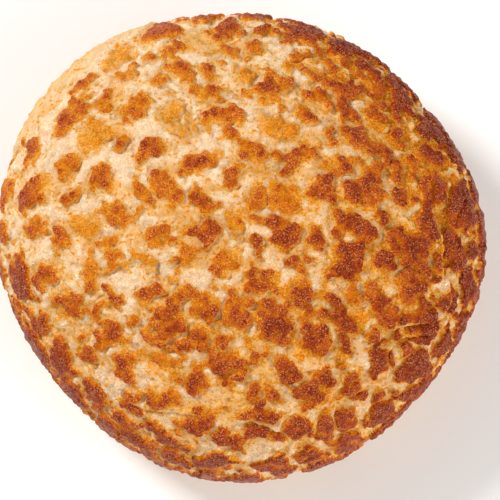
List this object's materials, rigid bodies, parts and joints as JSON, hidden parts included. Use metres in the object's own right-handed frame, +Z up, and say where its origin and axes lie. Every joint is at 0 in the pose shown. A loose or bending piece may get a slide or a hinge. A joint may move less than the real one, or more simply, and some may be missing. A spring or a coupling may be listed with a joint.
{
  "type": "bread roll",
  "caption": "Round crusty tiger bread roll: a domed bun with a flat base and a crackled crust of raised, browned paste islands over pale dough.",
  "frame": {"origin": "middle of the flat base that the roll rests on", "axes": "+Z up through the crown; +X to the right and +Y away from the viewer as the picture shows the roll from above"},
  "size_m": [0.112, 0.108, 0.0583],
  "materials": {
    "crust": "matte baked crust: cream dough, golden film and red-brown paste islands"
  },
  "bodies": {
    "root": {"roll": "crust"}
  },
  "joints": []
}
